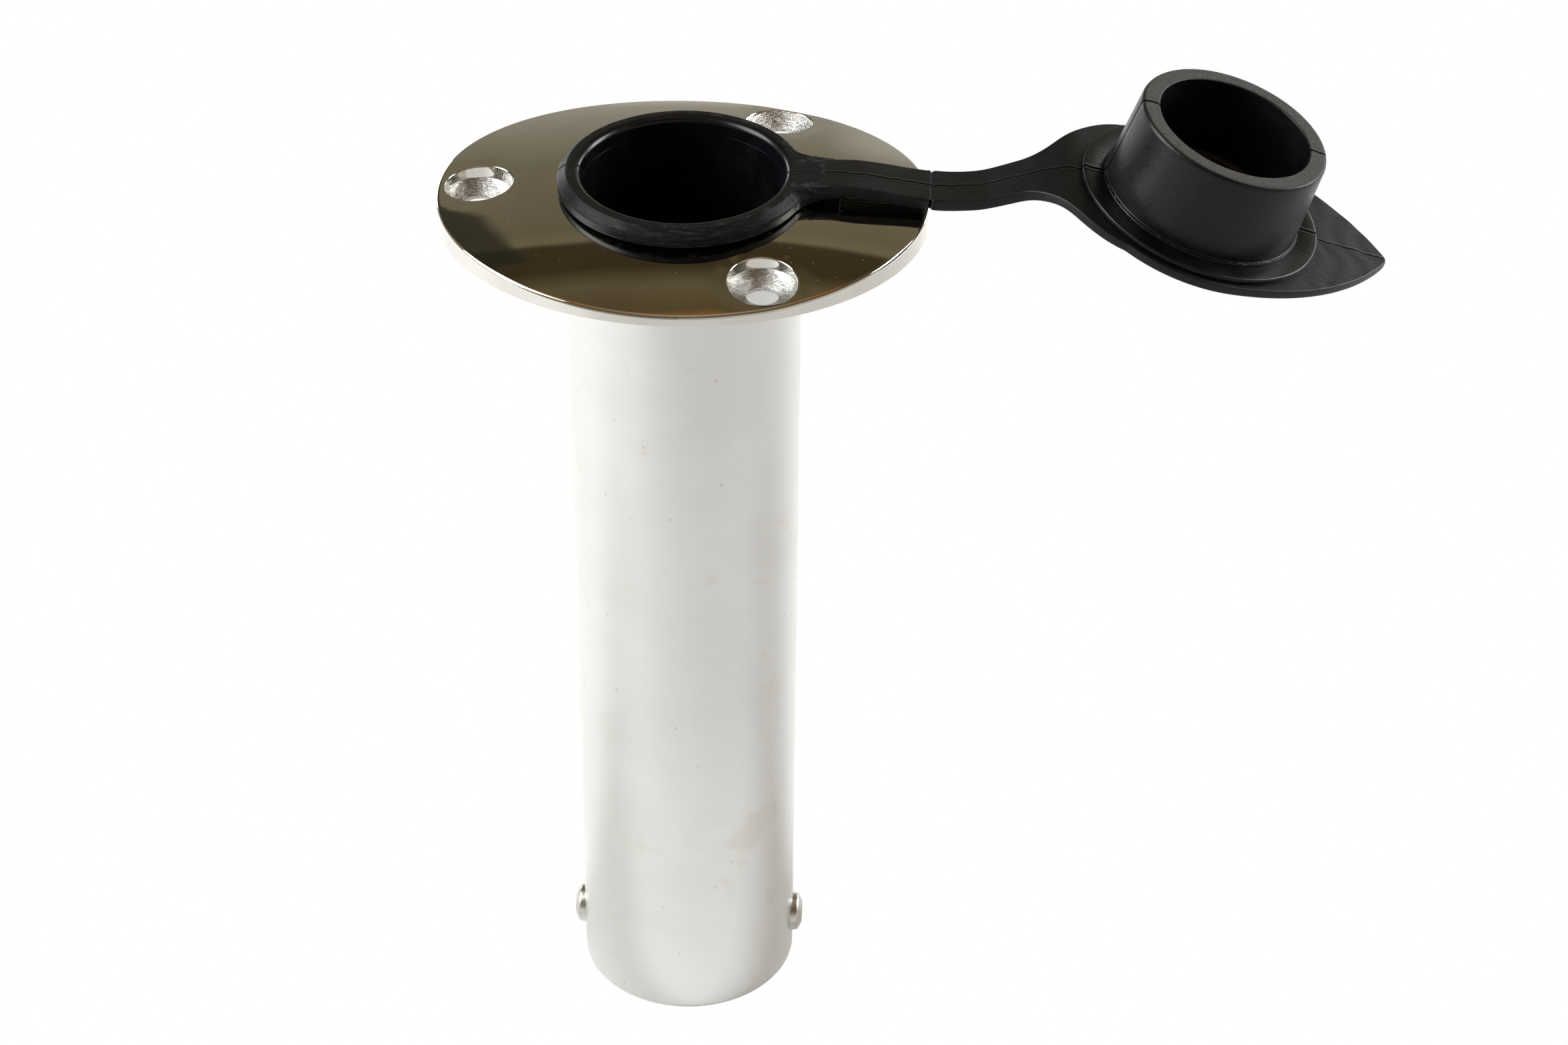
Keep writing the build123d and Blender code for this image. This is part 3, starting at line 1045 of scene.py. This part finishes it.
def rubber(name, seam_depth, seam_wide, gloss, streaks, rim=None, scuffed=None):
    """Black moulded rubber: fine grain, a mould parting line along y 0, specks of dust.

    rim is the height above which a face is sandy and duller, as on the cut end of a moulding.
    scuffed is the radius beyond which the face is dull and marked with fine lines.
    """
    p = Paint(name)
    at = p.place()
    grain = p.noise(at, 2.6, 4, 0.6)
    cloud = p.noise(at, 0.16, 3, 0.5, 0.4)
    split = p.node("SeparateXYZ", Vector=at)
    wander = p.noise(p.stretch(at, (1.0, 0.0, 0.0)), 0.30, 3)
    off = p.math("MULTIPLY_ADD", wander, 1.6, -0.8)
    gap = p.math("ABSOLUTE", p.math("ADD", split.outputs["Y"], off))
    gap = p.math("MULTIPLY", gap, 0.25 / seam_wide)
    seam = p.ramp(gap, [(0.0, 1.0), (0.12, 0.9), (0.25, 0.0), (1.0, 0.0)])
    ridge = p.ramp(gap, [(0.0, 0.0), (0.20, 0.0), (0.38, 1.0), (0.75, 0.0)])
    drag = p.noise(p.stretch(at, (0.25, 1.4, 1.0)), 0.8, 3, 0.6, 0.5)
    dust = p.dots(at, 0.30)
    speck = p.ramp(dust, [(0.0, 1.0), (0.022, 0.8), (0.032, 0.0), (1.0, 0.0)])
    tone = p.ramp(cloud, [(0.3, (0.0022, 0.0024, 0.0030)), (0.75, (0.0048, 0.0051, 0.0062))])
    rough = p.math("MULTIPLY_ADD", cloud, 0.14, gloss)
    rough = p.math("MULTIPLY_ADD", drag, streaks, rough)
    height = p.math("MULTIPLY_ADD", seam, -seam_depth, p.math("MULTIPLY", grain, 0.016))
    height = p.math("MULTIPLY_ADD", ridge, 0.3 * seam_depth, height)
    height = p.math("MULTIPLY_ADD", drag, 0.05 * (streaks > 0), height)
    height = p.math("MULTIPLY_ADD", speck, 0.05, height)
    if rim is not None:
        sandy = p.math("MULTIPLY_ADD", split.outputs["Z"], 5.0, -5.0 * rim, clamp=True)
        sand = p.noise(at, 4.5, 4, 0.7)
        pale = p.ramp(sand, [(0.35, (0.018, 0.018, 0.017)), (0.68, (0.085, 0.084, 0.080))])
        tone = p.mix(sandy, tone, pale)
        rough = p.math("MULTIPLY_ADD", sandy, 0.35, rough)
        height = p.math("MULTIPLY_ADD", p.math("MULTIPLY", sand, sandy), 0.22, height)
    tone = p.mix(p.math("MULTIPLY", speck, 0.5), tone, (0.16, 0.16, 0.155))
    tone = p.mix(seam, tone, (0.0006, 0.0006, 0.0006))
    shine = p.math("MULTIPLY_ADD", seam, -0.36, 0.36)
    if scuffed is not None:
        flat = p.node("CombineXYZ", X=split.outputs["X"], Y=split.outputs["Y"]).outputs[0]
        radius = p.node("VectorMath", {"operation": "LENGTH"}, Vector=flat).outputs["Value"]
        worn = p.math("MULTIPLY_ADD", radius, 0.8, -0.8 * scuffed, clamp=True)
        hairs = p.noise(p.stretch(at, (0.12, 0.12, 2.2)), 2.4, 4, 0.7)
        marks = p.ramp(hairs, [(0.0, 0.0), (0.50, 0.0), (0.66, 1.0), (1.0, 1.0)])
        marks = p.math("MULTIPLY", marks, worn)
        tone = p.mix(p.math("MULTIPLY", worn, 0.6), tone, (0.012, 0.0125, 0.013))
        tone = p.mix(p.math("MULTIPLY", marks, 0.4), tone, (0.06, 0.06, 0.058))
        rough = p.math("MULTIPLY_ADD", worn, 0.10, rough)
        shine = p.math("MULTIPLY_ADD", worn, -0.27, shine)
    return p.surface(
        Base_Color=tone,
        Roughness=rough,
        IOR=1.40,
        Specular_IOR_Level=shine,
        Normal=p.bump(height, 1.0),
    )


steel_top = polished_steel()
steel_cone = turned_steel()
steel_tube = brushed_steel()
steel_pin = raw_steel("pin_steel", 1.0)
steel_weld = raw_steel("weld_steel", 0.8)
rubber_lip = rubber("rubber_lip", 0.10, 0.24, 0.17, 0.0, scuffed=bore_r + 1.6)
rubber_strap = rubber("rubber_strap", 0.18, 0.30, 0.32, 0.06)
rubber_plug = rubber("rubber_plug", 0.30, 0.42, 0.22, 0.10, rim=plug_h - 0.25)

looks = [
    (flange_casting, [steel_top, steel_cone], "holder", ["flange"], "polished_steel"),
    (tube_satin, [steel_tube], "holder", ["tube"], "brushed_steel"),
    (weld_bead, [steel_weld], "holder", ["flange_weld"], "pin_steel"),
    (pin_shaft, [steel_pin], "holder", ["cross_pin"], "pin_steel"),
    (pin_heads[0], [steel_pin], "holder", ["pin_head_left"], "pin_steel"),
    (pin_heads[1], [steel_pin], "holder", ["pin_head_right"], "pin_steel"),
    (liner_inside, [rubber_lip], "holder", ["liner_sleeve"], "rubber"),
    (lip_ring, [rubber_lip], "holder", ["liner_lip"], "rubber"),
    (collar_step, [rubber_plug], "cap", ["cap_collar"], "rubber"),
    (plug_cup, [rubber_plug], "cap", ["cap_plug"], "rubber"),
]
for obj, paints, body, nodes, slot in looks:
    for paint in paints:
        obj.data.materials.append(paint)
    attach(obj, body)
    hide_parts(*nodes)

strap_near.data.materials.append(rubber_strap)
cap_leaf.data.materials.append(rubber_strap)
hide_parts("strap_inner")
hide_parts("strap_link", "strap_outer", "cap_plate", "cap_tab")


def strap_span(point, before, after):
    """Two points along the strap, either side of a fold."""
    return (point - along * before) * MM, (point + along * after) * MM


start, end = strap_span(fold_a, 4.5, 3.5)
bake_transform(strap_near)
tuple(start)
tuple(end)
start, end = strap_span(fold_m, 6.0, 7.0)
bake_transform(cap_leaf)
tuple(start)
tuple(end)

# ---------------------------------------------------------------- camera, floor and light
camera_data = bpy.data.cameras.new("camera")
camera = placed("camera", camera_data)
camera_data.lens = 80.28
camera_data.sensor_width = 36.0
camera_data.clip_start = 0.05
camera_data.clip_end = 50
turn, dip, roll = math.radians(2.5), math.radians(35.66), math.radians(0.66)
look = Vector(
    (-math.sin(turn) * math.cos(dip), math.cos(turn) * math.cos(dip), -math.sin(dip))
)
right = Vector((math.cos(turn), math.sin(turn), 0))
over = right.cross(look)
right_rolled = right * math.cos(roll) + over * math.sin(roll)
over_rolled = over * math.cos(roll) - right * math.sin(roll)
spot = Vector((50.204, -641.465, 380.674)) * MM
camera.matrix_world = Matrix(
    (
        (right_rolled.x, over_rolled.x, -look.x, spot.x),
        (right_rolled.y, over_rolled.y, -look.y, spot.y),
        (right_rolled.z, over_rolled.z, -look.z, spot.z),
        (0, 0, 0, 1),
    )
)
bpy.context.scene.camera = camera

floor_mesh = bpy.data.meshes.new("floor")
reach = 4.0
floor_z = tube_bottom * MM
floor_mesh.from_pydata(
    [(-reach, -reach, floor_z), (reach, -reach, floor_z), (reach, reach, floor_z),
     (-reach, reach, floor_z)],
    [],
    [(0, 1, 2, 3)],
)
floor = placed("floor", floor_mesh)


def floor_paint():
    """Plain pale floor, blown out to white where it is seen directly; to everything else it is a matt floor with
    painted shade, darker towards the right and the front.
    """
    p = Paint("floor_paint")
    seen = p.node("LightPath").outputs["Is Camera Ray"]
    at = p.node("TexCoord").outputs["Object"]
    mottle = p.noise(at, 3.0, 2)
    tone = p.ramp(mottle, [(0.3, (0.95, 0.96, 0.98)), (0.7, (0.98, 0.99, 1.0))])
    # Painted shade: the floor's tone is darkened towards the right (+X) and the front (-Y), so the tube's right
    # side reflects darker; the camera still sees the floor white.
    split = p.node("SeparateXYZ", Vector=at)
    shade_slant = p.math("MULTIPLY_ADD", split.outputs["X"], 1.5, 0.5)
    shade_slant = p.math("MULTIPLY_ADD", split.outputs["Y"], -1.2, shade_slant)
    floor_painted_shade = p.ramp(shade_slant, [(0.25, 0.87), (0.5, 0.82), (0.62, 0.74), (0.8, 0.68)])
    tone = p.mix(1.0, tone, floor_painted_shade, "MULTIPLY")
    matt = p.node("BsdfDiffuse", Color=tone)
    glow = p.node("Emission", Color=(1.0, 1.0, 1.0), Strength=1.0)
    blend = p.node("MixShader")
    p.join(blend.inputs[0], seen)
    p.tree.links.new(matt.outputs[0], blend.inputs[1])
    p.tree.links.new(glow.outputs[0], blend.inputs[2])
    out = p.node("OutputMaterial")
    p.tree.links.new(blend.outputs[0], out.inputs[0])
    return p.data


floor_mesh.materials.append(floor_paint())


def studio():
    """White where seen directly; to the object, a brown room with a dark beam across its wall."""
    world = bpy.data.worlds.new("studio")
    bpy.context.scene.world = world
    p = Paint("studio", world)
    way = p.node("SeparateXYZ", Vector=p.node("TexCoord").outputs["Generated"])
    rise = p.math("MULTIPLY", p.math("ARCSINE", way.outputs["Z"]), 2 / math.pi)
    veer = p.math("ARCTAN2", way.outputs["X"], way.outputs["Y"])
    room = p.ramp(
        rise,
        [
            (0.00, (0.62, 0.60, 0.52)),
            (0.05, (0.34, 0.32, 0.25)),
            (0.16, (0.235, 0.215, 0.150)),
            (0.46, (0.180, 0.152, 0.095)),
            (0.487, (0.215, 0.180, 0.105)),
            (0.497, (0.060, 0.044, 0.023)),
            (0.555, (0.058, 0.041, 0.018)),
            (0.595, (0.150, 0.118, 0.062)),
            (0.645, (0.120, 0.085, 0.040)),
            (0.675, (0.50, 0.200, 0.045)),
            (0.715, (0.46, 0.190, 0.045)),
            (0.76, (0.20, 0.175, 0.14)),
            (1.00, (0.55, 0.53, 0.50)),
        ],
        smooth_steps=False,
    )
    edge = p.ramp(
        rise,
        [(0.0, 0.30), (0.20, 0.240), (0.28, 0.243), (0.34, 0.276), (0.375, 0.275), (0.41, 0.262),
         (0.475, 0.277), (1.0, 0.28)],
        smooth_steps=False,
    )
    gloom = p.math("MULTIPLY", p.math("GREATER_THAN", rise, 0.13), p.math("LESS_THAN", rise, 0.53))
    off = p.math("SUBTRACT", p.math("MULTIPLY", veer, -1.0), edge)
    gloom = p.math("MULTIPLY", gloom, p.math("MULTIPLY", off, 80.0, clamp=True))
    gloom = p.math("MULTIPLY", gloom, p.math("GREATER_THAN", veer, -1.0))
    room = p.mix(p.math("MULTIPLY", gloom, 0.86), room, (0.030, 0.028, 0.018))
    pane = p.ramp(veer, [(0.0, 0.15), (0.10, 1.0), (1.0, 1.0)])
    pane = p.math("MULTIPLY", pane, p.ramp(rise, [(0.0, 1.0), (0.13, 0.8), (0.29, 0.0), (1, 0.0)]))
    room = p.mix(p.math("MULTIPLY", pane, 0.8), room, (0.85, 0.85, 0.80))
    seen = p.node("LightPath").outputs["Is Camera Ray"]
    tone = p.mix(seen, room, (1.0, 1.0, 1.0))
    back = p.node("Background", Color=tone, Strength=1.0)
    out = p.node("OutputWorld")
    p.tree.links.new(back.outputs[0], out.inputs[0])


studio()


def softbox(name, place, aim, width, height, power, tint=(1, 1, 1)):
    """A rectangular light at place, turned to aim. Sizes in metres, power in watts."""
    data = bpy.data.lights.new(name, "AREA")
    data.shape = "RECTANGLE"
    data.size = width
    data.size_y = height
    data.energy = power
    data.color = tint
    obj = placed(name, data)
    obj.location = place
    obj.rotation_mode = "QUATERNION"
    obj.rotation_quaternion = (Vector(aim) - Vector(place)).to_track_quat("-Z", "Y")


softbox("left_box", (-1.3, -0.1, 0.85), (-0.1, 0, -0.1), 1.0, 1.2, 41, (0.94, 0.98, 1.0))
softbox("back_left_box", (-0.75, 1.1, 0.12), (0, 0, 0.02), 0.5, 0.3, 2.2)
softbox("back_right_box", (0.85, 1.1, 0.12), (0, 0, 0.02), 0.5, 0.3, 3)
softbox("right_box", (1.4, 0.5, 0.55), (0.15, 0.1, -0.1), 0.6, 1.0, 27)

view = bpy.context.scene.view_settings
view.view_transform = "Standard"
view.look = "None"
